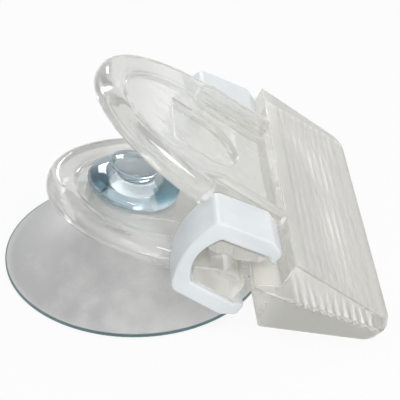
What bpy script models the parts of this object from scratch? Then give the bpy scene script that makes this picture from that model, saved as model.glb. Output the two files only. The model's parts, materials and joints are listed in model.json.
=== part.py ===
"""Feeding clip on a suction cup, for holding leaf food against aquarium glass.

Units are metres and +Z is up. The origin is the centre of the suction rim, on the
surface it stands on. +X points from the finger pads to the jaw tips, and the jaw
hinge runs along Y.

Five pieces: a soft cup whose head goes through the lower half, two moulded clear
halves that rock on a round knuckle, and two sprung C clips that press the jaws shut.
"""

import math

import bmesh
import bpy
from mathutils import Matrix, Vector

MM = 0.001
FIT_GAP = 0.35 * MM                     # clearance between pieces that touch

# Where the clip stands over the cup. Its parting plane falls towards the jaws.
HINGE_X = 13.4 * MM
HINGE_Z = 15.9 * MM
CLIP_TILT = math.radians(23.9)

# Across the clip, from its middle outwards. The springs sit between the tongue and the ear ends.
JAW_HALF_WIDTH = 28.2 * MM
EAR_END_Y = JAW_HALF_WIDTH - 3.8 * MM
SPRING_WIDTH = 9.0 * MM
TONGUE_HALF_WIDTH = EAR_END_Y - SPRING_WIDTH
PAD_HALF_WIDTH = TONGUE_HALF_WIDTH + 3.3 * MM
RECESS_HALF_WIDTH = TONGUE_HALF_WIDTH - 2.2 * MM
EAR_ROOT_Y = TONGUE_HALF_WIDTH - 1.3 * MM   # the ears start under the rim beside the recess

# Each half is a straight lever, at this angle to the parting plane.
LEVER_ANGLE = math.radians(12.2)
LEVER_RISE = 5.7 * MM                   # parting plane to lever mid-plane, at the hinge

# Finger pad: a half ellipse about the hinge, with a rounded rim round a sunk floor.
PAD_TIP = 27.1 * MM                     # hinge to the pad's free end
RIM_HALF_THICKNESS = 2.25 * MM
RIM_ROUNDING = 1.5 * MM
RIM_WIDTH = 4.4 * MM                    # at the free end
RECESS_ROUND_LENGTH = 16.7 * MM
FLOOR_HALF_THICKNESS = 1.0 * MM
RECESS_SLOPE = 0.8 * MM                 # how far the recess narrows towards its floor
SHOULDER_U = -6.6 * MM                  # where the pad steps in to the tongue

# Shallow thumb mark on the pad floor, straight at one end and round at the other.
MARK_START = -12.0 * MM
MARK_ROUND_START = -4.6 * MM
MARK_HALF_WIDTH = 6.6 * MM
MARK_DEPTH = 0.5 * MM

# Jaw, a solid wedge across the full width.
JAW_REAR_U = 9.1 * MM
JAW_REAR_V = 3.1 * MM                   # outer face above the lever mid-plane, at the rear
JAW_LENGTH = 30.4 * MM                  # hinge to the jaw's tip, along the parting plane
JAW_TIP_U = JAW_LENGTH - 0.8 * MM
JAW_TIP_V = 2.8 * MM
JAW_HEEL_S = 5.4 * MM                   # where the jaw starts at the parting plane
JAW_HEEL_HEIGHT = 0.8 * MM
HOOK_RELIEF_S = 9.2 * MM                # the upper jaw is cut back for the springs' hooks
HOOK_RELIEF_HEIGHT = 2.2 * MM
JAW_CORNER_RADIUS = 2.6 * MM
JAW_EDGE_ROUNDING = 0.8 * MM
TOOTH_START = 13.0 * MM
TOOTH_PITCH = 1.5 * MM
TOOTH_WIDTH = 1.0 * MM
TOOTH_DEPTH = 0.4 * MM
TOOTH_END_MARGIN = 2.0 * MM             # kept free behind the jaw's tip
TOOTH_COUNT = int((JAW_LENGTH - TOOTH_END_MARGIN - TOOTH_START) / TOOTH_PITCH)

# Fulcrum: side ears, a knuckle on the lower ones and a socket in the upper ones.
EAR_FRONT = 5.6 * MM
EAR_PARTING = 1.2 * MM                  # ear face to the parting plane, beside the knuckle
EAR_FLARE = math.radians(13.0)          # how fast the ear faces part in front and behind
WEB_INSET = 0.25 * MM                   # keeps the ears' webs inside what they join
KNUCKLE_RADIUS = 1.9 * MM

# Sprung C clips, one over each pair of ears.
SPRING_DROP = 0.6 * MM                  # its centre below the parting plane
SPRING_TURN = math.radians(6.0)         # its middle line falls faster than the plane
SPRING_FLARE = math.radians(4.5)        # how fast its arms part towards its mouth
SPRING_INNER_HALF_HEIGHT = 4.6 * MM     # at the back
SPRING_ARM_WALL = 3.0 * MM
SPRING_TIP_WALL = 2.3 * MM
SPRING_CORNER_S = -4.8 * MM             # where the back meets the arms, outside
SPRING_SHOULDER_S = 5.0 * MM            # where an arm starts to thin towards its tip
SPRING_BACK_BULGE = 1.7 * MM
SPRING_BACK_WALL = 2.2 * MM
SPRING_TIP_S = 7.6 * MM
HOOK_LENGTH = 1.6 * MM
HOOK_DEPTH = 0.9 * MM
SPRING_ROUNDING = 0.6 * MM

# Suction cup. Heights are along its own axis, from the rim.
CUP_RADIUS = 23.5 * MM
RIM_FLAT = 0.9 * MM
CUP_EDGE_THICKNESS = 0.6 * MM
CAVITY_HEIGHT = 5.2 * MM
CAVITY_FLAT_RADIUS = 7.0 * MM
CAVITY_CURVE = 0.9                      # below 1 bulges the cavity's wall outwards
SKIRT_CURVE = 1.1                       # above 1 hollows the skirt's outside
HUB_RADIUS = 8.0 * MM
HUB_FOOT_HEIGHT = 8.6 * MM
HUB_TOP_INSET = 2.0 * MM
HUB_CHAMFER = 0.8 * MM
NECK_U = -12.1 * MM                     # where the head goes through the lower pad
NECK_RADIUS = 4.4 * MM
FLANGE_RADIUS = 8.25 * MM
FLANGE_THICKNESS = 3.0 * MM
WAIST_RADIUS = 3.3 * MM
WAIST_HEIGHT = 1.1 * MM
KNOB_RADIUS = 4.3 * MM
KNOB_THICKNESS = 2.2 * MM
LEAN_START = 3.0 * MM                   # the soft cup leans between these heights
LEAN_END = 11.0 * MM

# How finely the round shapes are cut.
CURVE_STEPS = 24
TURN_STEPS = 48
PROFILE_STEPS = 6                       # along the cup's skirt, and round a bead's edge
BACK_STEPS = 8                          # along a spring's back
CORNER_STEPS = 3
PLAN_ROUNDING_STEPS = 3
SIDE_ROUNDING_STEPS = 2
MERGE_DISTANCE = 0.01 * MM
LEVEL_TOLERANCE = 1e-4 * MM             # an edge this level belongs to one face of a prism
SHARP_ANGLE = math.radians(35.0)


def clip_matrix():
    """Clip frame: origin on the hinge axis, X along the parting plane, Z off it."""
    return Matrix.Translation((HINGE_X, 0, HINGE_Z)) @ Matrix.Rotation(CLIP_TILT, 4, "Y")


def lever_matrix():
    """Lever frame, inside the clip frame, for the half above the parting plane."""
    return Matrix.Translation((0, 0, LEVER_RISE)) @ Matrix.Rotation(LEVER_ANGLE, 4, "Y")


def mirror_matrix():
    """Turns the upper half's shape into the lower half's."""
    return Matrix.Diagonal((1, 1, -1, 1))


def lever_point(u, v):
    """A side-view point of the lever frame, as (s, t) of the clip frame."""
    point = lever_matrix() @ Vector((u, 0, v))
    return point.x, point.z


def lever_height(s):
    """Height t over the parting plane of the lever's mid-plane, at the length s."""
    return LEVER_RISE - s * math.tan(LEVER_ANGLE)


def spring_point(s, t, is_upper=True):
    """A side-view point of the spring's own frame, as the half above or below sees it."""
    side = 1 if is_upper else -1
    turn = Matrix.Rotation(SPRING_TURN, 4, "Y")
    point = Matrix.Translation((0, 0, -SPRING_DROP)) @ turn @ Vector((s, 0, side * t))
    return point.x, side * point.z


def arc(centre, radius, start, end, steps):
    """Points of an arc, with angles in radians."""
    turn = [start + (end - start) * i / steps for i in range(steps + 1)]
    return [(centre[0] + radius * math.cos(a), centre[1] + radius * math.sin(a)) for a in turn]


def bulged_line(start, end, bulge, steps):
    """Points from start to end on a shallow parabola that bulges to the left of the way."""
    run = Vector(end) - Vector(start)
    side = Vector((-run.y, run.x)).normalized()
    points = []
    for i in range(steps + 1):
        share = i / steps
        offset = 4 * bulge * share * (1 - share)
        points.append(tuple(Vector(start) + run * share + side * offset))
    return points


def new_object(name, mesh_builder):
    mesh = bpy.data.meshes.new(name)
    mesh_builder.normal_update()
    mesh_builder.to_mesh(mesh)
    mesh_builder.free()
    thing = bpy.data.objects.new(name, mesh)
    bpy.context.scene.collection.objects.link(thing)
    return thing


def extrude_outline(points, low, high):
    """A closed prism over a flat outline, as a bmesh with the outline in XY."""
    shape = bmesh.new()
    base = shape.faces.new([shape.verts.new((x, y, low)) for x, y in points])
    moved = bmesh.ops.extrude_face_region(shape, geom=[base])["geom"]
    tops = [item for item in moved if isinstance(item, bmesh.types.BMVert)]
    bmesh.ops.translate(shape, verts=tops, vec=(0, 0, high - low))
    bmesh.ops.recalc_face_normals(shape, faces=shape.faces)
    return shape


def round_level_edges(shape, width, segments):
    """Rounds the edges round both ends of an upright prism."""
    edges = [edge for edge in shape.edges
             if abs(edge.verts[0].co.z - edge.verts[1].co.z) < LEVEL_TOLERANCE]
    bmesh.ops.bevel(shape, geom=edges, offset=width, segments=segments, profile=0.5,
                    affect="EDGES", clamp_overlap=True, material=-1)
    bmesh.ops.remove_doubles(shape, verts=shape.verts, dist=MERGE_DISTANCE)
    bmesh.ops.dissolve_degenerate(shape, edges=shape.edges, dist=MERGE_DISTANCE)


def plan_piece(name, points, low, high, rounding=0.0):
    """A piece cut to a plan outline in the lever frame, from layer low to layer high."""
    shape = extrude_outline(points, low, high)
    if rounding:
        round_level_edges(shape, rounding, PLAN_ROUNDING_STEPS)
    shape.transform(lever_matrix())
    return new_object(name, shape)


def side_piece(name, points, low_y, high_y, rounding=0.0):
    """A piece cut to a side outline in the clip frame, from low_y to high_y."""
    shape = extrude_outline(points, -high_y, -low_y)
    if rounding:
        round_level_edges(shape, rounding, SIDE_ROUNDING_STEPS)
    shape.transform(Matrix.Rotation(math.pi / 2, 4, "X"))
    return new_object(name, shape)


def combine(body, tool, operation):
    """Applies a Boolean of the tool to the body and removes the tool."""
    modifier = body.modifiers.new(operation.lower(), "BOOLEAN")
    modifier.operation = operation
    modifier.object = tool
    with bpy.context.temp_override(object=body):
        bpy.ops.object.modifier_apply(modifier=modifier.name)
    bpy.data.objects.remove(tool)


def pad_outline():
    """Plan of the finger pad and the tongue, as far as the middle of the jaw's rear."""
    reach = math.acos(-SHOULDER_U / PAD_TIP)
    points = [(JAW_REAR_U + RIM_HALF_THICKNESS, -TONGUE_HALF_WIDTH),
              (JAW_REAR_U + RIM_HALF_THICKNESS, TONGUE_HALF_WIDTH),
              (SHOULDER_U, TONGUE_HALF_WIDTH)]
    for i in range(2 * CURVE_STEPS + 1):
        turn = math.pi + reach * (i / CURVE_STEPS - 1)
        points.append((PAD_TIP * math.cos(turn), PAD_HALF_WIDTH * math.sin(turn)))
    points.append((SHOULDER_U, -TONGUE_HALF_WIDTH))
    return points


def recess_outline(shrink):
    """Plan of the sunk floor: a half ellipse at the free end, straight into the jaw."""
    centre_u = RECESS_ROUND_LENGTH + RIM_WIDTH - PAD_TIP
    length = RECESS_ROUND_LENGTH - shrink
    half_width = RECESS_HALF_WIDTH - shrink
    jaw_u = JAW_REAR_U + RIM_HALF_THICKNESS / 2
    points = [(jaw_u, -half_width), (jaw_u, half_width)]
    for i in range(CURVE_STEPS + 1):
        turn = math.pi / 2 + math.pi * i / CURVE_STEPS
        points.append((centre_u + length * math.cos(turn), half_width * math.sin(turn)))
    return points


def recess_tool(side):
    """Cutter for the sunk floor, with sloping walls, on the outer (+1) or inner (-1) side."""
    shape = bmesh.new()
    layers = [(FLOOR_HALF_THICKNESS, RECESS_SLOPE), (RIM_HALF_THICKNESS, 0.0),
              (RIM_HALF_THICKNESS + JAW_REAR_V, 0.0)]
    rings = []
    for height, shrink in layers:
        ring = [shape.verts.new((x, y, side * height)) for x, y in recess_outline(shrink)]
        rings.append(ring)
    shape.faces.new(rings[0])
    shape.faces.new(rings[-1])
    for lower, upper in zip(rings, rings[1:]):
        for i in range(len(lower)):
            j = (i + 1) % len(lower)
            shape.faces.new((lower[i], lower[j], upper[j], upper[i]))
    bmesh.ops.recalc_face_normals(shape, faces=shape.faces)
    shape.transform(lever_matrix())
    return new_object("recess_tool", shape)


def mark_tool():
    centre = (MARK_ROUND_START, 0.0)
    points = [(MARK_START, MARK_HALF_WIDTH), (MARK_START, -MARK_HALF_WIDTH)]
    points += arc(centre, MARK_HALF_WIDTH, -math.pi / 2, math.pi / 2, CURVE_STEPS // 2)
    floor = FLOOR_HALF_THICKNESS - MARK_DEPTH
    return plan_piece("mark_tool", points, floor, RIM_HALF_THICKNESS)


def rounded_corner(before, corner, after, radius):
    """Points of the arc that rounds a corner of an outline."""
    corner = Vector(corner)
    to_before = (Vector(before) - corner).normalized()
    to_after = (Vector(after) - corner).normalized()
    half_angle = to_before.angle(to_after) / 2
    centre = corner + (to_before + to_after).normalized() * radius / math.sin(half_angle)
    start = corner + to_before * radius / math.tan(half_angle) - centre
    end = corner + to_after * radius / math.tan(half_angle) - centre
    points = []
    for i in range(CORNER_STEPS + 1):
        spoke = start.lerp(end, i / CORNER_STEPS).normalized() * radius
        points.append(tuple(centre + spoke))
    return points


def jaw_outline(is_upper):
    """Side view of a jaw, from its rear, along the teeth and round its tip."""
    tip = lever_point(JAW_TIP_U, JAW_TIP_V)
    rear_top = lever_point(JAW_REAR_U, JAW_REAR_V)
    parting = FIT_GAP / 2
    heel = [(JAW_HEEL_S, JAW_HEEL_HEIGHT), (JAW_HEEL_S, parting)]
    if is_upper:
        heel.insert(0, (HOOK_RELIEF_S, HOOK_RELIEF_HEIGHT))
    nose = (JAW_LENGTH, parting)
    points = rounded_corner(tip, rear_top, heel[0], JAW_EDGE_ROUNDING) + heel
    for i in range(TOOTH_COUNT):
        start = TOOTH_START + i * TOOTH_PITCH
        points.append((start, parting))
        points.append((start + TOOTH_WIDTH / 2, parting + TOOTH_DEPTH))
        points.append((start + TOOTH_WIDTH, parting))
    points.append(nose)
    points += rounded_corner(nose, (JAW_LENGTH, tip[1]), rear_top, JAW_EDGE_ROUNDING)
    return points


def jaw_plan():
    """Plan of the jaw, with rounded corners at its free end."""
    inner_y = JAW_HALF_WIDTH - JAW_CORNER_RADIUS
    nose_u = (lever_matrix().inverted() @ Vector((JAW_LENGTH, 0, 0))).x
    corner_u = nose_u - JAW_CORNER_RADIUS
    points = [(0.0, -JAW_HALF_WIDTH)]
    points += arc((corner_u, -inner_y), JAW_CORNER_RADIUS, -math.pi / 2, 0, 4)
    points += arc((corner_u, inner_y), JAW_CORNER_RADIUS, 0, math.pi / 2, 4)
    points.append((0.0, JAW_HALF_WIDTH))
    return points


def build_jaw(is_upper):
    overrun = JAW_HALF_WIDTH + JAW_CORNER_RADIUS
    jaw = side_piece("jaw", jaw_outline(is_upper), -overrun, overrun)
    plan = plan_piece("jaw_plan", jaw_plan(), -JAW_LENGTH, JAW_LENGTH)
    combine(jaw, plan, "INTERSECT")
    return jaw


def spring_inner(s):
    """Half the height inside a spring, at the length s of its own frame."""
    return SPRING_INNER_HALF_HEIGHT + (s - SPRING_CORNER_S) * math.tan(SPRING_FLARE)


def ear_back(height):
    """Length of an ear's back face inside a spring's back, in the spring's frame."""
    inner_corner = SPRING_CORNER_S + SPRING_BACK_WALL
    share = max(0.0, 1 - (height / spring_inner(inner_corner)) ** 2)
    return inner_corner + FIT_GAP - SPRING_BACK_BULGE * share


def ear_outline(is_upper):
    """Side view of an ear: face to the parting plane, blunt front, top, curved back."""
    front_low = EAR_PARTING + EAR_FRONT * math.tan(EAR_FLARE)
    back_low = EAR_PARTING - ear_back(EAR_PARTING) * math.tan(EAR_FLARE)
    back_high = spring_inner(ear_back(SPRING_INNER_HALF_HEIGHT)) - FIT_GAP
    points = [(0.0, EAR_PARTING), (EAR_FRONT, front_low),
              spring_point(EAR_FRONT, spring_inner(EAR_FRONT) - FIT_GAP, is_upper)]
    for i in range(BACK_STEPS + 1):
        height = back_high + (back_low - back_high) * i / BACK_STEPS
        points.append(spring_point(ear_back(height), height, is_upper))
    return points


def web_outline(is_upper):
    """Side view of the web that joins an ear to the tongue, from inside one to the other."""
    low = EAR_PARTING + EAR_FRONT * math.tan(EAR_FLARE) + WEB_INSET
    back_s = spring_point(ear_back(low), low, is_upper)[0] + WEB_INSET
    front_s = EAR_FRONT - WEB_INSET
    return [(back_s, low), (front_s, low), (front_s, lever_height(front_s)),
            (back_s, lever_height(back_s))]


def both_sides(inner_y, outer_y):
    """The two y ranges of a shape that the part has on its near and its far side."""
    return [(-outer_y, -inner_y), (inner_y, outer_y)]


def build_ears(half, is_upper):
    for start, end in both_sides(EAR_ROOT_Y, EAR_END_Y):
        combine(half, side_piece("ear", ear_outline(is_upper), start, end), "UNION")
    for start, end in both_sides(EAR_ROOT_Y + WEB_INSET, TONGUE_HALF_WIDTH - WEB_INSET):
        combine(half, side_piece("web", web_outline(is_upper), start, end), "UNION")
    if is_upper:
        socket = arc((0, 0), KNUCKLE_RADIUS + FIT_GAP, 0, 2 * math.pi, CURVE_STEPS)[:-1]
        for start, end in both_sides(EAR_ROOT_Y - FIT_GAP, EAR_END_Y + FIT_GAP):
            combine(half, side_piece("socket", socket, start, end), "DIFFERENCE")
        return
    knuckle = arc((0, 0), KNUCKLE_RADIUS, 0, 2 * math.pi, CURVE_STEPS)[:-1]
    for start, end in both_sides(EAR_ROOT_Y + FIT_GAP, EAR_END_Y - FIT_GAP):
        combine(half, side_piece("knuckle", knuckle, start, end), "UNION")


def build_half(name, is_upper):
    """One moulded half, made above the parting plane in the clip frame."""
    half = plan_piece(name, pad_outline(), -RIM_HALF_THICKNESS, RIM_HALF_THICKNESS,
                      RIM_ROUNDING)
    combine(half, recess_tool(1), "DIFFERENCE")
    combine(half, recess_tool(-1), "DIFFERENCE")
    combine(half, mark_tool(), "DIFFERENCE")
    combine(half, build_jaw(is_upper), "UNION")
    build_ears(half, is_upper)
    if not is_upper:
        hole = arc((NECK_U, 0), NECK_RADIUS + FIT_GAP, 0, 2 * math.pi, TURN_STEPS)[:-1]
        reach = RIM_HALF_THICKNESS
        combine(half, plan_piece("hole", hole, -reach, reach), "DIFFERENCE")
        half.data.transform(mirror_matrix())
        half.data.flip_normals()
    return half


def spring_outline():
    """Side view of a spring: its back outside, one arm, its back inside, the other arm."""
    inner_s = SPRING_CORNER_S + SPRING_BACK_WALL
    inner = spring_inner(inner_s)
    outer = spring_inner(SPRING_CORNER_S) + SPRING_ARM_WALL
    hook_s = SPRING_TIP_S - HOOK_LENGTH
    hook_t = spring_inner(SPRING_TIP_S) - HOOK_DEPTH
    arm = [(SPRING_SHOULDER_S, spring_inner(SPRING_SHOULDER_S) + SPRING_ARM_WALL),
           (SPRING_TIP_S, hook_t + SPRING_TIP_WALL), (SPRING_TIP_S, hook_t),
           (hook_s + HOOK_DEPTH / 2, hook_t), (hook_s, spring_inner(hook_s))]
    points = bulged_line((SPRING_CORNER_S, -outer), (SPRING_CORNER_S, outer),
                         SPRING_BACK_BULGE, BACK_STEPS)
    points += arm
    points += bulged_line((inner_s, inner), (inner_s, -inner), -SPRING_BACK_BULGE, BACK_STEPS)
    points += [(s, -t) for s, t in reversed(arm)]
    return [spring_point(s, t) for s, t in points]


def build_spring(name, side):
    inner_y = TONGUE_HALF_WIDTH + FIT_GAP
    start, end = sorted((side * inner_y, side * (inner_y + SPRING_WIDTH)))
    return side_piece(name, spring_outline(), start, end, SPRING_ROUNDING)


def bead(radius, low, high):
    """Half-round edge of a disc, as part of a turned section."""
    edge = (high - low) / 2
    return arc((radius - edge, low + edge), edge, -math.pi / 2, math.pi / 2, PROFILE_STEPS)


def cup_profile():
    """Half section of the cup as (radius, height), from under its centre to its top."""
    seat = neck_height()
    floor = FLOOR_HALF_THICKNESS + FIT_GAP
    flange_low = seat + floor
    flange_high = flange_low + FLANGE_THICKNESS
    knob_low = flange_high + WAIST_HEIGHT
    knob_high = knob_low + KNOB_THICKNESS
    section = [(0, CAVITY_HEIGHT), (CAVITY_FLAT_RADIUS, CAVITY_HEIGHT)]
    inner_rim = CUP_RADIUS - RIM_FLAT
    for i in range(1, PROFILE_STEPS):
        share = i / PROFILE_STEPS
        radius = CAVITY_FLAT_RADIUS + (inner_rim - CAVITY_FLAT_RADIUS) * share
        section.append((radius, CAVITY_HEIGHT * (1 - share) ** CAVITY_CURVE))
    section += [(inner_rim, 0), (CUP_RADIUS, 0), (CUP_RADIUS, CUP_EDGE_THICKNESS)]
    for i in range(1, PROFILE_STEPS + 1):
        share = i / PROFILE_STEPS
        radius = CUP_RADIUS + (HUB_RADIUS - CUP_RADIUS) * share
        rise = (HUB_FOOT_HEIGHT - CUP_EDGE_THICKNESS) * share ** SKIRT_CURVE
        section.append((radius, CUP_EDGE_THICKNESS + rise))
    top_radius = HUB_RADIUS - HUB_TOP_INSET
    section += [(top_radius + HUB_CHAMFER, seat - floor - HUB_CHAMFER),
                (top_radius, seat - floor), (NECK_RADIUS, seat - floor),
                (NECK_RADIUS, flange_low)]
    section += bead(FLANGE_RADIUS, flange_low, flange_high)
    section += [(WAIST_RADIUS, flange_high), (WAIST_RADIUS, knob_low)]
    section += bead(KNOB_RADIUS, knob_low, knob_high)
    section.append((0, knob_high))
    return section


def neck_point():
    """Where the head's axis crosses the lower lever's mid-plane, in the world."""
    below = mirror_matrix() @ lever_matrix() @ Vector((NECK_U, 0, 0))
    return clip_matrix() @ below


def neck_tilt():
    return CLIP_TILT - LEVER_ANGLE


def neck_height():
    return neck_point().z


def head_matrix():
    """Moves the straight cup's head to where it stands, square to the lower pad."""
    turn = Matrix.Rotation(neck_tilt(), 4, "Y")
    return Matrix.Translation(neck_point()) @ turn @ Matrix.Translation((0, 0, -neck_height()))


def lean_share(height):
    share = min(1.0, max(0.0, (height - LEAN_START) / (LEAN_END - LEAN_START)))
    return share * share * (3 - 2 * share)


def build_cup(name):
    """The cup, turned about a straight axis, then leant so that its head fits the pad."""
    shape = bmesh.new()
    verts = [shape.verts.new((radius, 0, height)) for radius, height in cup_profile()]
    edges = [shape.edges.new(pair) for pair in zip(verts, verts[1:])]
    bmesh.ops.spin(shape, geom=verts + edges, cent=(0, 0, 0), axis=(0, 0, 1),
                   angle=2 * math.pi, steps=TURN_STEPS, use_merge=True)
    bmesh.ops.remove_doubles(shape, verts=shape.verts, dist=MERGE_DISTANCE)
    bmesh.ops.recalc_face_normals(shape, faces=shape.faces)
    leant = head_matrix()
    for vert in shape.verts:
        vert.co = vert.co.lerp(leant @ vert.co, lean_share(vert.co.z))
    return new_object(name, shape)


def principled(name, colour, roughness, transmission):
    material = bpy.data.materials.new(name)
    material.use_nodes = True
    shader = material.node_tree.nodes["Principled BSDF"]
    shader.inputs["Base Color"].default_value = (*colour, 1)
    shader.inputs["Roughness"].default_value = roughness
    shader.inputs["Transmission Weight"].default_value = transmission
    return material


def finish(thing, material):
    thing.data.materials.clear()
    thing.data.materials.append(material)
    thing.data.shade_smooth()
    thing.data.set_sharp_from_angle(angle=SHARP_ANGLE)


def new_empty(name, matrix, parent=None, parent_matrix=None):
    empty = bpy.data.objects.new(name, None)
    bpy.context.scene.collection.objects.link(empty)
    hang(empty, matrix, parent, parent_matrix)
    return empty


def hang(thing, matrix, parent, parent_matrix):
    """Places a thing at a world matrix, under a parent whose world matrix is given."""
    thing.parent = parent
    thing.matrix_basis = parent_matrix.inverted() @ matrix if parent else matrix


def clear_scene():
    for thing in list(bpy.data.objects):
        bpy.data.objects.remove(thing)


def main():
    clear_scene()
    clear_plastic = principled("clear_plastic", (0.86, 0.85, 0.81), 0.06, 0.9)
    soft_vinyl = principled("soft_vinyl", (0.62, 0.72, 0.76), 0.12, 0.85)
    white_plastic = principled("white_plastic", (0.86, 0.89, 0.92), 0.35, 0.0)

    cup = build_cup("suction_cup")
    finish(cup, soft_vinyl)

    swivel_matrix = Matrix.Translation(neck_point()) @ Matrix.Rotation(neck_tilt(), 4, "Y")
    hinge_matrix = clip_matrix()
    swivel = new_empty("clip_swivel", swivel_matrix)
    hinge = new_empty("jaw_hinge", hinge_matrix, swivel, swivel_matrix)

    lower = build_half("lower_half", is_upper=False)
    hang(lower, hinge_matrix, swivel, swivel_matrix)
    finish(lower, clear_plastic)

    upper = build_half("upper_half", is_upper=True)
    hang(upper, hinge_matrix, hinge, hinge_matrix)
    finish(upper, clear_plastic)

    for name, side in (("near_spring", -1), ("far_spring", 1)):
        spring = build_spring(name, side)
        hang(spring, hinge_matrix, swivel, swivel_matrix)
        finish(spring, white_plastic)


main()
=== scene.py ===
import json
import math

import bmesh
import bpy
from mathutils import Matrix, Vector


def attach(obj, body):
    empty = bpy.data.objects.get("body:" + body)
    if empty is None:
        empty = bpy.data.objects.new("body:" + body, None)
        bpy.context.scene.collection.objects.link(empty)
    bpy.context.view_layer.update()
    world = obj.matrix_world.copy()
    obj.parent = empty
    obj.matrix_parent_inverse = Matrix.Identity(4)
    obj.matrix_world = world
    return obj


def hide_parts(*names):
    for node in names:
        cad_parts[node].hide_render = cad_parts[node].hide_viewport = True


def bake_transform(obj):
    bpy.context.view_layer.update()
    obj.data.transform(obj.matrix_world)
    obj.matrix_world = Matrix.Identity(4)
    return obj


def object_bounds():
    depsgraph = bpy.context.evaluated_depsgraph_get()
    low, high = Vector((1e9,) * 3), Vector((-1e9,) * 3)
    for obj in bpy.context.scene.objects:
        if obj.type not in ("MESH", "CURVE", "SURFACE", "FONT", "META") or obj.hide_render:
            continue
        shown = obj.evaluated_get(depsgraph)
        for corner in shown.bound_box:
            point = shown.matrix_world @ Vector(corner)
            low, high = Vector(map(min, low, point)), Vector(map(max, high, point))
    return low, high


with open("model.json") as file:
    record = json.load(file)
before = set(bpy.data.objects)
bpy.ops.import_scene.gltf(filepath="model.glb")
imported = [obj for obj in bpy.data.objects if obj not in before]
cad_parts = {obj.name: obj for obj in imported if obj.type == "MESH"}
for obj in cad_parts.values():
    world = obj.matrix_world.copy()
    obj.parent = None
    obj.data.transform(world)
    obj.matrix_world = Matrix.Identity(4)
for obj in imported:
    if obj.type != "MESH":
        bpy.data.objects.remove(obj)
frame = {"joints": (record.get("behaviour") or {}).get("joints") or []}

cad_low, cad_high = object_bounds()

# --- Studio ---------------------------------------------------------------------------
# A pale table under a soft lamp and an even white room, as for a catalogue picture.
# The camera stands where the photograph was taken from. None of this is the clip.

MM = 0.001
CAMERA_PLACE = Vector((-2.42, -193.78, 145.14)) * MM
CAMERA_ELEVATION = math.radians(34.5)
CAMERA_AZIMUTH = math.radians(-4.09)
CAMERA_ROLL = math.radians(1.44)
CAMERA_LENS = 119.63
SENSOR_WIDTH = 36.0


class Wire:
    """A node's output in an expression. Its operators add Math nodes."""

    def __init__(self, sheet, socket):
        self.sheet = sheet
        self.socket = socket

    def other(self, name):
        """Another output of the same node."""
        return Wire(self.sheet, self.socket.node.outputs[name])

    def math(self, operation, *values):
        """A Math node, for what has no operator here."""
        return self.sheet.add("ShaderNodeMath", {"operation": operation}, dict(enumerate(values)))

    def __add__(self, value):
        return self.math("ADD", self, value)

    def __sub__(self, value):
        return self.math("SUBTRACT", self, value)

    def __rsub__(self, value):
        return self.math("SUBTRACT", value, self)

    def __mul__(self, value):
        return self.math("MULTIPLY", self, value)

    def __pow__(self, value):
        return self.math("POWER", self, value)

    def above(self, low, high):
        """0 below low, 1 above high, and a soft step between them."""
        settings = {"interpolation_type": "SMOOTHSTEP"}
        values = {"Value": self, "From Min": low, "From Max": high}
        return self.sheet.add("ShaderNodeMapRange", settings, values)

    __radd__ = __add__
    __rmul__ = __mul__


class Sheet:
    """A node tree, written as expressions on its wires."""

    def __init__(self, tree):
        self.tree = tree

    def add(self, kind, settings=None, values=None, output=0):
        """Adds a node: its settings first, then the values or wires of its sockets."""
        node = self.tree.nodes.new(kind)
        for name, setting in (settings or {}).items():
            setattr(node, name, setting)
        for key, value in (values or {}).items():
            self.feed(node.inputs[key], value)
        return Wire(self, node.outputs[output])

    def feed(self, socket, value):
        if isinstance(value, Wire):
            self.tree.links.new(value.socket, socket)
        else:
            socket.default_value = value

    def mix(self, share, first, second):
        """A colour between two others."""
        return self.add("ShaderNodeMix", {"data_type": "RGBA"}, {0: share, 6: first, 7: second}, 2)

    def seen_ray(self):
        """1 for rays that show the backdrop: straight, mirrored or through clear plastic."""
        path = self.add("ShaderNodeLightPath", output="Is Camera Ray")
        mirrored = path.math("MAXIMUM", path, path.other("Is Glossy Ray"))
        return path.math("MAXIMUM", mirrored, path.other("Is Transmission Ray"))


def build_camera():
    data = bpy.data.cameras.new("camera")
    data.lens = CAMERA_LENS
    data.sensor_width = SENSOR_WIDTH
    camera = bpy.data.objects.new("camera", data)
    turn = Matrix.Rotation(CAMERA_AZIMUTH, 4, "Z")
    tip = Matrix.Rotation(math.pi / 2 - CAMERA_ELEVATION, 4, "X")
    roll = Matrix.Rotation(CAMERA_ROLL, 4, "Z")
    camera.matrix_world = Matrix.Translation(CAMERA_PLACE) @ turn @ tip @ roll
    bpy.context.scene.collection.objects.link(camera)
    bpy.context.scene.camera = camera


def build_table():
    """The table keeps the clip's shadow, and glows so that it shows nearly white."""
    half_size = 6.0
    glow = 0.86
    pale = (0.92, 0.92, 0.92, 1)
    paint = bpy.data.materials.new("table_paint")
    paint.use_nodes = True
    paint.node_tree.nodes.clear()
    sheet = Sheet(paint.node_tree)
    board = sheet.add("ShaderNodeBsdfDiffuse", values={"Color": pale})
    light = sheet.add("ShaderNodeEmission", values={"Color": (1, 1, 1, 1), "Strength": 1.0})
    both = sheet.add("ShaderNodeMixShader", values={0: sheet.seen_ray() * glow, 1: board, 2: light})
    sheet.feed(paint.node_tree.nodes.new("ShaderNodeOutputMaterial").inputs["Surface"], both)
    shape = bmesh.new()
    bmesh.ops.create_grid(shape, x_segments=1, y_segments=1, size=half_size)
    mesh = bpy.data.meshes.new("table")
    shape.to_mesh(mesh)
    shape.free()
    mesh.materials.append(paint)
    table = bpy.data.objects.new("table", mesh)
    bpy.context.scene.collection.objects.link(table)


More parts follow.
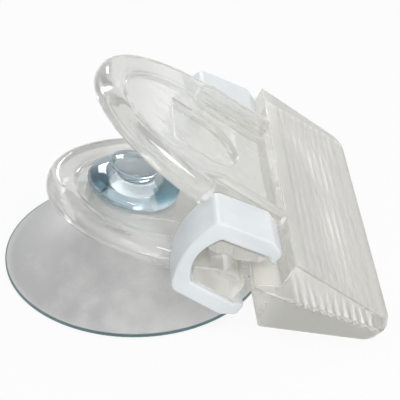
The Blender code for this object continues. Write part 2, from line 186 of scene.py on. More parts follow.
def build_room():
    """White all round, and greyer overhead, so that glossy edges have something to show."""
    fill = 0.62                         # strength for the rays that only light the clip
    white = (1, 1, 1, 1)
    overhead = (0.72, 0.73, 0.74, 1)
    world = bpy.data.worlds.new("room")
    bpy.context.scene.world = world
    world.use_nodes = True
    sheet = Sheet(world.node_tree)
    way = sheet.add("ShaderNodeTexCoord", output="Generated")
    height = sheet.add("ShaderNodeSeparateXYZ", values={0: way}, output="Z")
    shade = sheet.mix(height.above(0.15, 0.9), white, overhead)
    strength = fill + sheet.seen_ray() * (1 - fill)
    background = world.node_tree.nodes["Background"]
    sheet.feed(background.inputs["Color"], shade)
    sheet.feed(background.inputs["Strength"], strength)


def build_lamp(name, place, aim, size, power):
    """A rectangular area lamp that faces its aim."""
    data = bpy.data.lights.new(name, "AREA")
    data.shape = "RECTANGLE"
    data.size = size[0]
    data.size_y = size[1]
    data.energy = power
    lamp = bpy.data.objects.new(name, data)
    lamp.location = place
    lamp.rotation_euler = (Vector(aim) - Vector(place)).to_track_quat("-Z", "Y").to_euler()
    bpy.context.scene.collection.objects.link(lamp)


bpy.context.scene.view_settings.view_transform = "Standard"
build_camera()
build_table()
build_room()
middle = (cad_low + cad_high) / 2
build_lamp("front_lamp", place=(0.13, -0.22, 0.36), aim=middle, size=(0.20, 0.14), power=0.85)
build_lamp("window_lamp", place=(-0.02, 0.38, 0.25), aim=middle, size=(0.10, 0.10), power=0.26)
build_lamp("strip_lamp", place=(-0.34, 0.06, 0.24), aim=middle, size=(0.03, 0.18), power=0.03)

# --- Suction cup ----------------------------------------------------------------------
# One piece of soft clear vinyl with a faint blue tint: skirt, hub, neck, flange and knob.
# It is moulded straight. The knob and flange are pushed up through the hole in the lower
# pad, and the soft neck leans so that the flange lies flat on the pad.

swivel = next(joint for joint in frame["joints"] if joint["name"] == "clip_swivel")
NECK = Vector(swivel["pos_m"])
NECK_TILT = math.atan2(swivel["axis"][0], swivel["axis"][2])
CUP_RADIUS = 23.5 * MM
RIM_FLAT = 0.9 * MM                     # width of the ring that touches the glass
RIM_EDGE = 0.15 * MM
RIM_THICKNESS = 0.6 * MM
CAVITY_HEIGHT = 5.2 * MM
CAVITY_FLAT_RADIUS = 7.0 * MM
CAVITY_CURVE = 0.9
SKIRT_CURVE = 1.1
HUB_RADIUS = 8.0 * MM
HUB_FOOT = 8.6 * MM
HUB_TOP_RADIUS = 6.0 * MM
HUB_EDGE = 0.8 * MM
PAD_FLOOR = 1.35 * MM                   # half the pad's floor, and the gap beside it
NECK_RADIUS = 4.4 * MM
FLANGE_RADIUS = 8.25 * MM
FLANGE_THICKNESS = 3.0 * MM
FLANGE_BELLY = 1.2 * MM
FLANGE_CROWN_RADIUS = 4.2 * MM
WAIST_RADIUS = 3.3 * MM
WAIST_HEIGHT = 1.1 * MM
WAIST_FILLET = 0.5 * MM
KNOB_RADIUS = 4.3 * MM
KNOB_THICKNESS = 2.2 * MM
KNOB_BELLY = 0.9 * MM
KNOB_CROWN_RADIUS = 0.3 * MM
KNOB_SLUMP = 0.3                        # sideways for each unit that it stands above the flange
LEAN_START = 3.0 * MM
LEAN_END = 11.0 * MM
TURN_STEPS = 120
WELD = 0.01 * MM                        # points closer than this are one
SHARP_ANGLE = math.radians(38)          # edges that turn more than this aren't shaded smooth


def arc(centre, radius, start, end, steps):
    """Points of an arc, with angles in radians."""
    turn = [start + (end - start) * i / steps for i in range(steps + 1)]
    return [(centre[0] + radius * math.cos(a), centre[1] + radius * math.sin(a)) for a in turn]


def dome(radius, inner, low, high, belly):
    """Edge of a disc in a turned section: round below its belly, and a low dome above it."""
    foot = arc((0, 0), 1, -math.pi / 2, 0, steps=8)[:-1]
    crown = arc((0, 0), 1, 0, math.pi / 2, steps=14)
    edge = belly - low
    lower = [(radius - edge + x * edge, belly + y * edge) for x, y in foot]
    return lower + [(inner + x * (radius - inner), belly + y * (high - belly)) for x, y in crown]


def cup_section():
    """Half section of the straight cup as (radius, height), from under its middle to its top."""
    steps = 20
    hub_top = NECK.z - PAD_FLOOR
    flange_low = NECK.z + PAD_FLOOR
    flange_high = flange_low + FLANGE_THICKNESS
    knob_low = flange_high + WAIST_HEIGHT
    knob_high = knob_low + KNOB_THICKNESS
    inner_rim = CUP_RADIUS - RIM_FLAT
    section = [(0, CAVITY_HEIGHT), (CAVITY_FLAT_RADIUS / 2, CAVITY_HEIGHT)]
    for i in range(steps):
        share = i / steps
        radius = CAVITY_FLAT_RADIUS + (inner_rim - CAVITY_FLAT_RADIUS) * share
        section.append((radius, CAVITY_HEIGHT * (1 - share) ** CAVITY_CURVE))
    section += [(inner_rim, 0), (CUP_RADIUS - RIM_EDGE, 0), (CUP_RADIUS, RIM_EDGE)]
    for i in range(steps + 1):
        share = i / steps
        radius = CUP_RADIUS + (HUB_RADIUS - CUP_RADIUS) * share
        section.append((radius, RIM_THICKNESS + (HUB_FOOT - RIM_THICKNESS) * share ** SKIRT_CURVE))
    section += arc((HUB_TOP_RADIUS, hub_top - HUB_EDGE), HUB_EDGE, 0, math.pi / 2, steps=5)
    section += [(NECK_RADIUS, hub_top), (NECK_RADIUS, flange_low)]
    section += dome(FLANGE_RADIUS, FLANGE_CROWN_RADIUS, flange_low, flange_high,
                    flange_low + FLANGE_BELLY)
    section += arc((WAIST_RADIUS + WAIST_FILLET, flange_high + WAIST_FILLET), WAIST_FILLET,
                   -math.pi / 2, -math.pi, steps=5)
    section += dome(KNOB_RADIUS, KNOB_CROWN_RADIUS, knob_low, knob_high, knob_low + KNOB_BELLY)
    section.append((0, knob_high))
    return section


def blank(name, shape):
    """An object made of a bmesh and linked to the scene, with its origin at the frame's."""
    mesh = bpy.data.meshes.new(name)
    shape.to_mesh(mesh)
    shape.free()
    thing = bpy.data.objects.new(name, mesh)
    bpy.context.scene.collection.objects.link(thing)
    return thing


def dress(piece, material, node):
    """Gives a finished piece its material and shading, and hides the CAD node it stands for."""
    piece.data.materials.clear()
    piece.data.materials.append(material)
    piece.data.shade_smooth()
    piece.data.set_sharp_from_angle(angle=SHARP_ANGLE)
    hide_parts(node)


def new_finish(name):
    """A material's node sheet and its shader, ready to be fed."""
    material = bpy.data.materials.new(name)
    material.use_nodes = True
    return material, Sheet(material.node_tree), material.node_tree.nodes["Principled BSDF"].inputs


def let_light_through(sheet, shader, share):
    """Makes the plastic's shadow paler: this share of a lamp's light passes it."""
    path = sheet.add("ShaderNodeLightPath", output="Is Shadow Ray")
    sheet.feed(shader["Alpha"], 1 - path * share)


def soft_vinyl():
    """Clear and faintly blue, with a cloudy grey skirt. Painted shade darkens the skirt towards the left
    and back, puts dark teal crescents on the ring's sides, darkens the hub where it turns away, and
    draws a dark line along the rim.
    """
    skirt_dark = (0.49, 0.49, 0.49, 1)
    skirt_light = (0.66, 0.655, 0.65, 1)
    pale_blue = (0.50, 0.62, 0.68, 1)
    painted_shade_teal = (0.05, 0.145, 0.20, 1)
    grazing_painted_shade = (0.16, 0.26, 0.30, 1)
    rim_painted_shade = (0.02, 0.06, 0.07, 1)
    material, sheet, shader = new_finish("soft_vinyl")
    place = sheet.add("ShaderNodeTexCoord", output="Object")
    split = sheet.add("ShaderNodeSeparateXYZ", values={0: place}, output="X")
    across = split.other("Y")
    height = split.other("Z")
    radius = (split * split + across * across) ** 0.5
    # Painted shade: a thin dark line along the skirt's outer rim, where the clear edge shows dark.
    edge = radius.above(CUP_RADIUS - 0.35 * MM, CUP_RADIUS - 0.1 * MM)
    head = height.above(NECK.z, NECK.z + 2 * MM)
    within = 1 - radius.above(FLANGE_RADIUS - 0.55 * MM, FLANGE_RADIUS - 0.05 * MM)
    # Painted shade: dark teal crescents on the ring's left and right sides, towards the front, stand in
    # for the darker surroundings seen through the thick vinyl.
    ring = radius.above(NECK_RADIUS, NECK_RADIUS + 0.8 * MM) * within * head
    middle_x = split - NECK.x
    off_middle = split.math("ABSOLUTE", middle_x) + across.math("ABSOLUTE", across) * -0.2
    side = off_middle.above(2.6 * MM, 3.2 * MM) * ring * (1 - across.above(0.5 * MM, 2.5 * MM))
    turned = sheet.add("ShaderNodeLayerWeight", values={"Blend": 0.35}, output="Facing")
    cloud = sheet.add("ShaderNodeTexNoise", values={"Vector": place, "Scale": 260.0, "Detail": 6.0})
    speck = sheet.add("ShaderNodeTexNoise", values={"Vector": place, "Scale": 2200.0, "Detail": 2.0})
    mottle = cloud * 0.8 + speck * 0.2
    # Random mottle, plus painted shade: the skirt turns darker towards the left and back and lighter
    # towards the front right.
    mottle_and_painted_shade = mottle + split * 6.0 - across * 8.0
    skirt = sheet.mix(mottle_and_painted_shade.above(0.40, 0.80), skirt_dark, skirt_light)
    tinted = sheet.mix(head, skirt, pale_blue)
    with_painted_side_shade = sheet.mix(side, tinted, painted_shade_teal)
    # Painted shade: the hub darkens where its surface turns away from the view.
    darker = sheet.mix(turned.above(0.6, 0.98) * head, with_painted_side_shade, grazing_painted_shade)
    sheet.feed(shader["Base Color"], sheet.mix(edge, darker, rim_painted_shade))
    sheet.feed(shader["Roughness"], 0.06 + (1 - head) * (0.26 + mottle * 0.10))
    bump = sheet.add("ShaderNodeBump", values={"Height": cloud, "Strength": 0.05, "Distance": 0.3 * MM})
    sheet.feed(shader["Normal"], bump)
    sheet.feed(shader["Coat Weight"], head * 0.5)
    shader["Coat Roughness"].default_value = 0.03
    shader["Transmission Weight"].default_value = 0.9
    shader["IOR"].default_value = 1.45
    let_light_through(sheet, shader, 0.7)
    return material


def build_cup():
    """Turns the straight cup, then leans its neck and what stands on it."""
    shape = bmesh.new()
    verts = [shape.verts.new((radius, 0, height)) for radius, height in cup_section()]
    edges = [shape.edges.new(pair) for pair in zip(verts, verts[1:])]
    bmesh.ops.spin(shape, geom=verts + edges, cent=(0, 0, 0), axis=(0, 0, 1),
                   angle=2 * math.pi, steps=TURN_STEPS, use_merge=True)
    bmesh.ops.remove_doubles(shape, verts=shape.verts, dist=WELD)
    bmesh.ops.recalc_face_normals(shape, faces=shape.faces)
    tilt = Matrix.Rotation(NECK_TILT, 4, "Y")
    leant = Matrix.Translation(NECK) @ tilt @ Matrix.Translation((0, 0, -NECK.z))
    flange_top = NECK.z + PAD_FLOOR + FLANGE_THICKNESS
    for vert in shape.verts:
        share = min(1.0, max(0.0, (vert.co.z - LEAN_START) / (LEAN_END - LEAN_START)))
        rise = max(0.0, vert.co.z - flange_top)
        vert.co = vert.co.lerp(leant @ vert.co, share * share * (3 - 2 * share))
        vert.co.x -= KNOB_SLUMP * rise
    cup = blank("cup", shape)
    dress(cup, soft_vinyl(), "suction_cup")
    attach(cup, "cup")


build_cup()

# --- Lower half -----------------------------------------------------------------------
# One moulding of hard clear plastic: oval finger pad with a round-edged rim, tongue with low
# side walls, ears with a round knuckle, and a wide wedge jaw with fine teeth. The cup's neck
# goes through its pad.

hinge = next(joint for joint in frame["joints"] if joint["name"] == "jaw_hinge")
HINGE = Vector(hinge["pos_m"])
LEVER_ANGLE = math.radians(12.2)        # each lever to the parting plane
CLIP_TILT = NECK_TILT + LEVER_ANGLE
LEVER_RISE = 5.7 * MM
GAP = 0.35 * MM
TONGUE_HALF_WIDTH = 15.4 * MM
PAD_HALF_WIDTH = 18.7 * MM
PAD_TIP = 27.1 * MM
SHOULDER_U = -5.4 * MM                  # where the oval stops, just behind the springs
RIM_HALF_THICKNESS = 2.25 * MM
RIM_ROUNDING = 1.9 * MM
RIM_CROWN = (2.0 * MM, 0.9 * MM)        # width and height of its fall to the recess
RIM_WIDTH = 4.4 * MM
FLOOR_HALF_THICKNESS = 1.0 * MM
RECESS_FILLET = 0.35 * MM
RECESS_FOOT_INSET = 0.6 * MM
RECESS_LIP_INSET = 0.3 * MM
RECESS_HALF_WIDTH = 13.2 * MM
RECESS_ROUND_LENGTH = 16.7 * MM
JAW_HALF_WIDTH = 28.2 * MM
JAW_REAR_U = 9.1 * MM
JAW_REAR_V = 3.1 * MM
JAW_LENGTH = 30.4 * MM
JAW_TIP_U = 29.6 * MM
JAW_TIP_V = 2.8 * MM
JAW_HEEL_S = 5.4 * MM
JAW_HEEL_HEIGHT = 0.8 * MM
JAW_CORNER_RADIUS = 2.6 * MM
JAW_ROUNDING = 0.55 * MM
HOOK_RELIEF = (9.2 * MM, 2.2 * MM)
TOOTH_START = 13.0 * MM
TOOTH_PITCH = 1.5 * MM
TOOTH_WIDTH = 1.0 * MM
TOOTH_DEPTH = 0.4 * MM
TOOTH_COUNT = 10
EAR_END_Y = 24.4 * MM
EAR_ROOT_Y = 14.1 * MM
EAR_FRONT = 5.6 * MM
EAR_PARTING = 1.2 * MM
EAR_FLARE = math.radians(13.0)
EAR_ROUNDING = 0.3 * MM
WEB_INSET = 0.25 * MM                   # how far a web starts inside what it joins
KNUCKLE_RADIUS = 1.9 * MM
SPRING_DROP = 0.6 * MM
SPRING_TURN = math.radians(6.0)
SPRING_FLARE = math.radians(4.5)
SPRING_INNER_HALF_HEIGHT = 4.6 * MM
SPRING_CORNER_S = -4.8 * MM
SPRING_BACK_BULGE = 1.7 * MM
SPRING_BACK_WALL = 2.2 * MM
WALL_INNER_Y = 13.7 * MM                # the tongue's side walls, which stand above the rim
WALL_OUTER_Y = 15.3 * MM
WALL_START_U = -14.0 * MM
WALL_FULL_U = -4.0 * MM
WALL_END_U = 9.5 * MM
WALL_LOW_V = 0.4 * MM
WALL_TOP_V = 3.4 * MM
WALL_ROUNDING = 0.35 * MM
MARK_START = -12.0 * MM                 # the thumb mark
MARK_ROUND_START = -4.6 * MM
MARK_HALF_WIDTH = 6.6 * MM
MARK_DEPTH = 0.9 * MM
MARK_ROUNDING = MARK_DEPTH / 5
NECK_U = -12.1 * MM
CURVE_STEPS = 48
CURVE_TURN = math.radians(25)           # the steps of a curve turn less than this

clip_place = Matrix.Translation(HINGE) @ Matrix.Rotation(CLIP_TILT, 4, "Y")
lever_place = Matrix.Translation((0, 0, LEVER_RISE)) @ Matrix.Rotation(LEVER_ANGLE, 4, "Y")


def lever_point(u, v):
    """A lever's own u and v as s and t of the clip, which run from its hinge."""
    point = lever_place @ Vector((u, 0, v))
    return point.x, point.z


def lever_height(s):
    """How high the middle of a lever stands above the parting plane."""
    return LEVER_RISE - s * math.tan(LEVER_ANGLE)


def spring_point(s, t, is_upper=True):
    """A side-view point of the spring's own frame, as the half above or below sees it."""
    side = 1 if is_upper else -1
    turn = Matrix.Rotation(SPRING_TURN, 4, "Y")
    point = Matrix.Translation((0, 0, -SPRING_DROP)) @ turn @ Vector((s, 0, side * t))
    return point.x, side * point.z


def prism(points, low, high):
    """A closed prism over an outline in XY."""
    shape = bmesh.new()
    base = shape.faces.new([shape.verts.new((x, y, low)) for x, y in points])
    moved = bmesh.ops.extrude_face_region(shape, geom=[base])["geom"]
    tops = [item for item in moved if isinstance(item, bmesh.types.BMVert)]
    bmesh.ops.translate(shape, verts=tops, vec=(0, 0, high - low))
    bmesh.ops.recalc_face_normals(shape, faces=shape.faces)
    return shape


def sharp_edges(shape):
    """Edges worth rounding, which leaves out the steps of a curve."""
    return [edge for edge in shape.edges if edge.calc_face_angle(0) > CURVE_TURN]


def level(edges):
    """Those of the edges that lie level."""
    return [edge for edge in edges if abs(edge.verts[0].co.z - edge.verts[1].co.z) < WELD]


def round_off(shape, edges, width, segments, clamp=True):
    """Rounds edges, and welds the points that meet."""
    bmesh.ops.bevel(shape, geom=edges, offset=width, segments=segments, profile=0.5,
                    affect="EDGES", clamp_overlap=clamp, material=-1)
    bmesh.ops.remove_doubles(shape, verts=shape.verts, dist=WELD)
    bmesh.ops.dissolve_degenerate(shape, edges=shape.edges, dist=WELD)


def plan_blank(name, shape):
    """A working object in the clip's frame, of a shape seen in the lever's plan."""
    shape.transform(lever_place)
    return blank(name, shape)


def side_blank(name, points, low_y, high_y, rounding=0.0):
    """A working object in the clip's frame, of an outline seen from its side."""
    shape = prism(points, -high_y, -low_y)
    if rounding:
        round_off(shape, sharp_edges(shape), rounding, segments=3)
    shape.transform(Matrix.Rotation(math.pi / 2, 4, "X"))
    return blank(name, shape)


def combine(body, tool, operation):
    """Joins or cuts the body with the tool, and removes the tool."""
    cut = body.modifiers.new(operation.lower(), "BOOLEAN")
    cut.operation = operation
    cut.object = tool
    with bpy.context.temp_override(object=body):
        bpy.ops.object.modifier_apply(modifier=cut.name)
    bpy.data.objects.remove(tool)


def rolled_plate(name, points, straight_u):
    """A flat plate with rolled edges, but for the end that lies at a given u."""
    plate = prism(points, -RIM_HALF_THICKNESS, RIM_HALF_THICKNESS)
    rolled = [edge for edge in level(sharp_edges(plate))
              if any(abs(vert.co.x - straight_u) > WELD for vert in edge.verts)]
    round_off(plate, rolled, RIM_ROUNDING, segments=8, clamp=False)
    return plan_blank(name, plate)


def pad_outline():
    """Most of an oval, cut off straight where the tongue begins."""
    reach = math.acos(-SHOULDER_U / PAD_TIP)
    turns = [math.pi + reach * (i / CURVE_STEPS - 1) for i in range(2 * CURVE_STEPS + 1)]
    return [(PAD_TIP * math.cos(turn), PAD_HALF_WIDTH * math.sin(turn)) for turn in turns]


def tongue_outline():
    """A straight strip, from inside the oval's rim to the jaw's rear."""
    near, far = SHOULDER_U - RIM_WIDTH, JAW_REAR_U + RIM_HALF_THICKNESS
    return [(near, -TONGUE_HALF_WIDTH), (far, -TONGUE_HALF_WIDTH),
            (far, TONGUE_HALF_WIDTH), (near, TONGUE_HALF_WIDTH)]


def recess_outline(shrink):
    """The sunk floor's outline: round at the pad's tip, and open towards the jaw."""
    centre_u = RECESS_ROUND_LENGTH + RIM_WIDTH - PAD_TIP
    length = RECESS_ROUND_LENGTH - shrink
    half_width = RECESS_HALF_WIDTH - shrink
    jaw_u = JAW_REAR_U + RIM_HALF_THICKNESS / 2
    points = [(jaw_u, -half_width), (jaw_u, half_width)]
    for i in range(CURVE_STEPS + 1):
        turn = math.pi / 2 + math.pi * i / CURVE_STEPS
        points.append((centre_u + length * math.cos(turn), half_width * math.sin(turn)))
    return points


def recess_wall():
    """The recess wall as (inset, height): a fillet at the floor, then the rim's round crown."""
    wide, tall = RIM_CROWN
    centre = (RECESS_FOOT_INSET + RECESS_FILLET, FLOOR_HALF_THICKNESS + RECESS_FILLET)
    low = arc(centre, RECESS_FILLET, -math.pi / 2, -math.pi, steps=4)
    crown = [(RECESS_LIP_INSET - wide + x * wide, RIM_HALF_THICKNESS - tall + y * tall)
             for x, y in arc((0, 0), 1, 0, math.pi / 2, steps=8)]
    return low + crown + [(RECESS_LIP_INSET - wide, RIM_HALF_THICKNESS + JAW_REAR_V)]


def recess_tool(side):
    """Cutter for the sunk floor on the outer (+1) or inner (-1) side of the pad."""
    shape = bmesh.new()
    rings = [[shape.verts.new((x, y, side * height)) for x, y in recess_outline(inset)]
             for inset, height in recess_wall()]
    shape.faces.new(rings[0])
    shape.faces.new(rings[-1])
    for low, high in zip(rings, rings[1:]):
        for i in range(len(low)):
            shape.faces.new((low[i - 1], low[i], high[i], high[i - 1]))
    bmesh.ops.recalc_face_normals(shape, faces=shape.faces)
    return plan_blank("recess_tool", shape)


def mark_tool():
    """Cutter for the thumb mark, straight at one end and round at the other."""
    points = [(MARK_START, MARK_HALF_WIDTH), (MARK_START, -MARK_HALF_WIDTH)]
    points += arc((MARK_ROUND_START, 0), MARK_HALF_WIDTH, -math.pi / 2, math.pi / 2, CURVE_STEPS)
    shape = prism(points, FLOOR_HALF_THICKNESS - MARK_DEPTH, RIM_HALF_THICKNESS)
    round_off(shape, level(sharp_edges(shape)), MARK_ROUNDING, segments=2)
    return plan_blank("mark_tool", shape)


def jaw_blank(is_upper):
    """The jaw's wedge, rounded all over, before its teeth are cut."""
    parting = GAP / 2
    tip = lever_point(JAW_TIP_U, JAW_TIP_V)
    rear = lever_point(JAW_REAR_U, JAW_REAR_V)
    nose = (JAW_LENGTH, parting)
    points = [rear, (JAW_HEEL_S, JAW_HEEL_HEIGHT), (JAW_HEEL_S, parting), nose, tip]
    if is_upper:
        points.insert(1, HOOK_RELIEF)
    shape = prism(points, -JAW_HALF_WIDTH, JAW_HALF_WIDTH)
    corners = [edge for edge in level(shape.edges)
               if all(vert.co.x > JAW_TIP_U - TOOTH_PITCH for vert in edge.verts)]
    round_off(shape, corners, JAW_CORNER_RADIUS, segments=6)
    round_off(shape, sharp_edges(shape), JAW_ROUNDING, segments=3)
    shape.transform(Matrix.Rotation(math.pi / 2, 4, "X"))
    return blank("jaw", shape)


def teeth_tool():
    """Cutter for the V grooves between the teeth, a tooth's width wide at the jaw's face."""
    shape = bmesh.new()
    for i in range(TOOTH_COUNT):
        start = TOOTH_START + i * TOOTH_PITCH
        base = GAP / 2 - TOOTH_DEPTH
        groove = [(start - TOOTH_WIDTH / 2, base), (start + TOOTH_WIDTH * 1.5, base),
                  (start + TOOTH_WIDTH / 2, GAP / 2 + TOOTH_DEPTH)]
        face = shape.faces.new([shape.verts.new((s, -JAW_HALF_WIDTH - GAP, t)) for s, t in groove])
        moved = bmesh.ops.extrude_face_region(shape, geom=[face])["geom"]
        ends = [item for item in moved if isinstance(item, bmesh.types.BMVert)]
        bmesh.ops.translate(shape, verts=ends, vec=(0, 2 * (JAW_HALF_WIDTH + GAP), 0))
    bmesh.ops.recalc_face_normals(shape, faces=shape.faces)
    return blank("teeth_tool", shape)


def spring_inner(s):
    """Half the height inside a spring, which flares towards the jaws."""
    return SPRING_INNER_HALF_HEIGHT + (s - SPRING_CORNER_S) * math.tan(SPRING_FLARE)


def ear_back(height):
    """Where an ear's back lies at a height, a gap away from the spring's bulged back."""
    inner_corner = SPRING_CORNER_S + SPRING_BACK_WALL
    share = max(0.0, 1 - (height / spring_inner(inner_corner)) ** 2)
    return inner_corner + GAP - SPRING_BACK_BULGE * share


def ear_outline(is_upper):
    """An ear seen from its side. It fills its half of the spring, but for the gaps."""
    front_low = EAR_PARTING + EAR_FRONT * math.tan(EAR_FLARE)
    back_low = EAR_PARTING - ear_back(EAR_PARTING) * math.tan(EAR_FLARE)
    back_high = spring_inner(ear_back(SPRING_INNER_HALF_HEIGHT)) - GAP
    points = [(0.0, EAR_PARTING), (EAR_FRONT, front_low),
              spring_point(EAR_FRONT, spring_inner(EAR_FRONT) - GAP, is_upper)]
    steps = 8
    for i in range(steps + 1):
        height = back_high + (back_low - back_high) * i / steps
        points.append(spring_point(ear_back(height), height, is_upper))
    return points


def web_outline(is_upper):
    """The web that joins an ear to the tongue, from inside one to inside the other."""
    low = EAR_PARTING + EAR_FRONT * math.tan(EAR_FLARE) + WEB_INSET
    back_s = spring_point(ear_back(low), low, is_upper)[0] + WEB_INSET
    front_s = EAR_FRONT - WEB_INSET
    return [(back_s, low), (front_s, low), (front_s, lever_height(front_s)),
            (back_s, lever_height(back_s))]


def wall_outline():
    """A low wall beside the tongue, seen from its side. It rises from the pad's rim."""
    corners = [(WALL_START_U, WALL_LOW_V), (WALL_END_U, WALL_LOW_V), (WALL_END_U, WALL_TOP_V),
               (WALL_FULL_U, WALL_TOP_V)]
    return [lever_point(u, v) for u, v in corners]


def both_sides(inner_y, outer_y):
    """The two spans across the clip, near and far, that lie between these distances."""
    return [(-outer_y, -inner_y), (inner_y, outer_y)]


def build_half(name, is_upper):
    """One half, made above the parting plane. The lower one is then mirrored."""
    half = rolled_plate(name, pad_outline(), SHOULDER_U)
    combine(half, rolled_plate("tongue", tongue_outline(), JAW_REAR_U + RIM_HALF_THICKNESS), "UNION")
    combine(half, recess_tool(1), "DIFFERENCE")
    combine(half, recess_tool(-1), "DIFFERENCE")
    combine(half, mark_tool(), "DIFFERENCE")
    for start, end in both_sides(WALL_INNER_Y, WALL_OUTER_Y):
        combine(half, side_blank("wall", wall_outline(), start, end, WALL_ROUNDING), "UNION")
    combine(half, jaw_blank(is_upper), "UNION")
    combine(half, teeth_tool(), "DIFFERENCE")
    for start, end in both_sides(EAR_ROOT_Y, EAR_END_Y):
        combine(half, side_blank("ear", ear_outline(is_upper), start, end, EAR_ROUNDING), "UNION")
    for start, end in both_sides(EAR_ROOT_Y + WEB_INSET, TONGUE_HALF_WIDTH - WEB_INSET):
        combine(half, side_blank("web", web_outline(is_upper), start, end), "UNION")
    if is_upper:
        socket = arc((0, 0), KNUCKLE_RADIUS + GAP, 0, 2 * math.pi, CURVE_STEPS)[:-1]
        for start, end in both_sides(EAR_ROOT_Y - GAP, EAR_END_Y + GAP):
            combine(half, side_blank("socket", socket, start, end), "DIFFERENCE")
    else:
        knuckle = arc((0, 0), KNUCKLE_RADIUS, 0, 2 * math.pi, CURVE_STEPS)[:-1]
        for start, end in both_sides(EAR_ROOT_Y + GAP, EAR_END_Y - GAP):
            combine(half, side_blank("knuckle", knuckle, start, end, EAR_ROUNDING), "UNION")
        hole = arc((NECK_U, 0), NECK_RADIUS + GAP, 0, 2 * math.pi, 2 * CURVE_STEPS)[:-1]
        cutter = prism(hole, -RIM_HALF_THICKNESS, RIM_HALF_THICKNESS)
        combine(half, plan_blank("hole", cutter), "DIFFERENCE")
        half.data.transform(Matrix.Diagonal((1, 1, -1, 1)))
        half.data.flip_normals()
    half.data.transform(clip_place)
    return half


def keep_flats_flat(piece):
    """Lets the small roundings take up the shading, so that the big faces look flat."""
    shading = piece.modifiers.new("even_faces", "WEIGHTED_NORMAL")
    shading.keep_sharp = True
    shading.weight = 100                # the largest faces alone decide


def along(sheet, place, axis):
    """How far a point lies from the hinge, along a direction."""
    values = {0: place, 1: axis}
    settings = {"operation": "DOT_PRODUCT"}
    return sheet.add("ShaderNodeVectorMath", settings, values, "Value") - HINGE.dot(axis)


def clear_plastic():
    """Hard clear plastic, warm and slightly cloudy. The thick jaws are cloudier than the pads. The pad
    darkens towards its tip as painted shade, the ears are made paler as painted light, and edges darken
    where they turn away as painted shade.
    """
    thin_dark = (0.83, 0.83, 0.805, 1)
    thin_light = (0.87, 0.87, 0.85, 1)
    pad_tip_painted_shade = (0.71, 0.71, 0.685, 1)
    jaw_cloud = (0.745, 0.74, 0.705, 1)
    ear_painted_light = (1.0, 0.985, 0.94, 1)
    grazing_painted_shade = (0.60, 0.59, 0.56, 1)
    material, sheet, shader = new_finish("clear_plastic")
    place = sheet.add("ShaderNodeTexCoord", output="Object")
    forward = along(sheet, place, clip_place.col[0].xyz)
    normal = sheet.add("ShaderNodeNewGeometry", output="Normal")
    sideways = sheet.add("ShaderNodeSeparateXYZ", values={0: normal}, output="Y")
    jaw = forward.above(JAW_HEEL_S, TOOTH_START)
    end = sideways.math("ABSOLUTE", sideways).above(0.85, 0.98) * jaw
    across = sheet.add("ShaderNodeSeparateXYZ", values={0: place}, output="Y")
    beside = across.math("ABSOLUTE", across).above(TONGUE_HALF_WIDTH - 1 * MM, TONGUE_HALF_WIDTH)
    past_back = forward.above(SPRING_CORNER_S - 0.4 * MM, SPRING_CORNER_S + 0.4 * MM)
    ear = beside * past_back * (1 - jaw)
    turned = sheet.add("ShaderNodeLayerWeight", values={"Blend": 0.25}, output="Facing")
    cloud = sheet.add("ShaderNodeTexNoise", values={"Vector": place, "Scale": 140.0, "Detail": 3.0})
    thin = sheet.mix(cloud.above(0.35, 0.65), thin_dark, thin_light)
    # Painted shade: the pad darkens towards its tip.
    pad = sheet.mix(forward.above(-21 * MM, -12 * MM), pad_tip_painted_shade, thin)
    # Painted light: the ears inside the springs are made paler, to lift them out of the springs' shade.
    body = sheet.mix(ear, sheet.mix(jaw, pad, jaw_cloud), ear_painted_light)
    # Painted shade: the plastic darkens where its surface turns away from the view.
    sheet.feed(shader["Base Color"], sheet.mix(turned.above(0.7, 1.0), body, grazing_painted_shade))
    scuff = sheet.add("ShaderNodeTexNoise", values={"Vector": place, "Scale": 900.0, "Detail": 6.0})
    skin = 0.06 + scuff.above(0.5, 0.8) * 0.04 + jaw * 0.12 + ear * 0.12 + end * 0.22
    sheet.feed(shader["Roughness"], skin)
    waves = sheet.add("ShaderNodeTexNoise", values={"Vector": place, "Scale": 210.0, "Detail": 2.0})
    flow = sheet.add("ShaderNodeTexNoise", values={"Vector": place, "Scale": 420.0, "Detail": 3.0})
    uneven = waves + flow * (0.55 - 0.27 * jaw)
    bump = sheet.add("ShaderNodeBump", values={"Height": uneven, "Strength": 0.15, "Distance": 0.5 * MM})
    sheet.feed(shader["Normal"], bump)
    shader["Transmission Weight"].default_value = 0.74
    shader["Coat Weight"].default_value = 0.6
    shader["Coat Roughness"].default_value = 0.04
    shader["IOR"].default_value = 1.45
    let_light_through(sheet, shader, 0.8)
    return material


clip_plastic = clear_plastic()
lower = build_half("lower_moulding", is_upper=False)
dress(lower, clip_plastic, "lower_half")
keep_flats_flat(lower)
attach(lower, "clip_lower")

# --- Upper half -----------------------------------------------------------------------
# The same moulding turned over, with a socket in each ear in place of the knuckle and no
# hole in its pad. Its jaw is cut back a little at the rear for the springs' hooks.

upper = build_half("upper_moulding", is_upper=True)
dress(upper, clip_plastic, "upper_half")
keep_flats_flat(upper)
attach(upper, "clip_upper")

# --- Springs --------------------------------------------------------------------------
# Two short lengths of a milky plastic C section, pushed over the ears from behind. They
# squeeze the jaws shut, and their hooks keep them from sliding off backwards.

SPRING_WIDTH = 9.0 * MM
SPRING_ARM_WALL = 3.0 * MM
SPRING_TIP_WALL = 2.3 * MM
SPRING_SHOULDER_S = 5.0 * MM
SPRING_TIP_S = 7.6 * MM
HOOK_LENGTH = 1.6 * MM
HOOK_DEPTH = 0.9 * MM
SPRING_ROUNDING = 0.9 * MM
SPRING_CORNER_RADIUS = 1.9 * MM


def bulged_line(start, end, bulge, steps):
    """Points on a shallow parabola that bulges to the left of the way."""
    run = Vector(end) - Vector(start)
    side = Vector((-run.y, run.x)).normalized()
    shares = [i / steps for i in range(steps + 1)]
    return [tuple(Vector(start) + run * share + side * 4 * bulge * share * (1 - share))
            for share in shares]


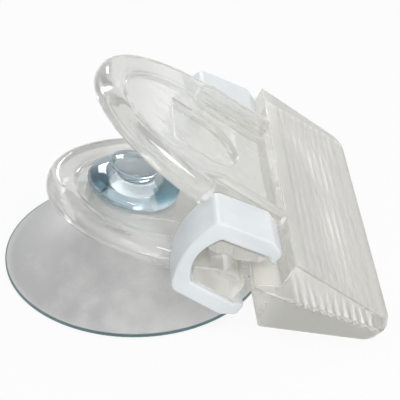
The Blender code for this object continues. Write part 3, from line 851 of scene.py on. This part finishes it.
def soft_corner(before, corner, after, radius):
    """Points of an arc in place of a convex corner, on a clockwise way round."""
    back = (Vector(before) - Vector(corner)).normalized()
    ahead = (Vector(after) - Vector(corner)).normalized()
    half = back.angle(ahead) / 2
    centre = Vector(corner) + (back + ahead).normalized() * radius / math.sin(half)
    first = Vector(corner) + back * radius / math.tan(half) - centre
    start = math.atan2(first.y, first.x)
    return arc(centre, radius, start, start - (math.pi - 2 * half), steps=6)


def spring_outline():
    """The C section, clockwise: its bulged back, the upper arm, the inside, the lower arm."""
    inner_s = SPRING_CORNER_S + SPRING_BACK_WALL
    inner = spring_inner(inner_s)
    outer = spring_inner(SPRING_CORNER_S) + SPRING_ARM_WALL
    hook_s = SPRING_TIP_S - HOOK_LENGTH
    hook_t = spring_inner(SPRING_TIP_S) - HOOK_DEPTH
    arm = [(SPRING_SHOULDER_S, spring_inner(SPRING_SHOULDER_S) + SPRING_ARM_WALL),
           (SPRING_TIP_S, hook_t + SPRING_TIP_WALL), (SPRING_TIP_S, hook_t),
           (hook_s + HOOK_DEPTH / 2, hook_t), (hook_s, spring_inner(hook_s))]
    steps = 16
    back = bulged_line((SPRING_CORNER_S, -outer), (SPRING_CORNER_S, outer),
                       SPRING_BACK_BULGE, steps)
    corner = soft_corner(back[-2], back[-1], arm[0], SPRING_CORNER_RADIUS)
    points = [(s, -t) for s, t in reversed(corner)] + back[2:-2] + corner
    points += arm
    points += bulged_line((inner_s, inner), (inner_s, -inner), -SPRING_BACK_BULGE, steps)
    points += [(s, -t) for s, t in reversed(arm)]
    return [spring_point(s, t) for s, t in points]


def milky_plastic():
    """Milky plastic, a little blue, with a satin skin and a fine grain."""
    cloud_dark = (0.76, 0.80, 0.82, 1)
    cloud_light = (0.82, 0.855, 0.87, 1)
    material, sheet, shader = new_finish("milky_plastic")
    place = sheet.add("ShaderNodeTexCoord", output="Object")
    cloud = sheet.add("ShaderNodeTexNoise", values={"Vector": place, "Scale": 160.0, "Detail": 4.0})
    sheet.feed(shader["Base Color"], sheet.mix(cloud.above(0.3, 0.7), cloud_dark, cloud_light))
    sheet.feed(shader["Roughness"], 0.28 + cloud * 0.12)
    grain = sheet.add("ShaderNodeTexNoise", values={"Vector": place, "Scale": 2600.0, "Detail": 2.0})
    bump = sheet.add("ShaderNodeBump", values={"Height": grain, "Strength": 0.10, "Distance": 0.04 * MM})
    sheet.feed(shader["Normal"], bump)
    shader["Subsurface Weight"].default_value = 0.25
    shader["Subsurface Radius"].default_value = (0.9 * MM, 1.0 * MM, 1.1 * MM)
    shader["Subsurface Scale"].default_value = 1.0
    let_light_through(sheet, shader, 0.45)
    return material


def build_spring(name, node, side, material):
    """A spring over the ears on one side: a C section shaped around the ears, with a bulged back."""
    inner_y = TONGUE_HALF_WIDTH + GAP
    start, end = sorted((side * inner_y, side * (inner_y + SPRING_WIDTH)))
    spring = side_blank(name, spring_outline(), start, end, SPRING_ROUNDING)
    spring.data.transform(clip_place)
    dress(spring, material, node)
    keep_flats_flat(spring)
    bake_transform(spring)


spring_plastic = milky_plastic()
for name, node, side in (("spring_near", "near_spring", -1), ("spring_far", "far_spring", 1)):
    build_spring(name, node, side, spring_plastic)
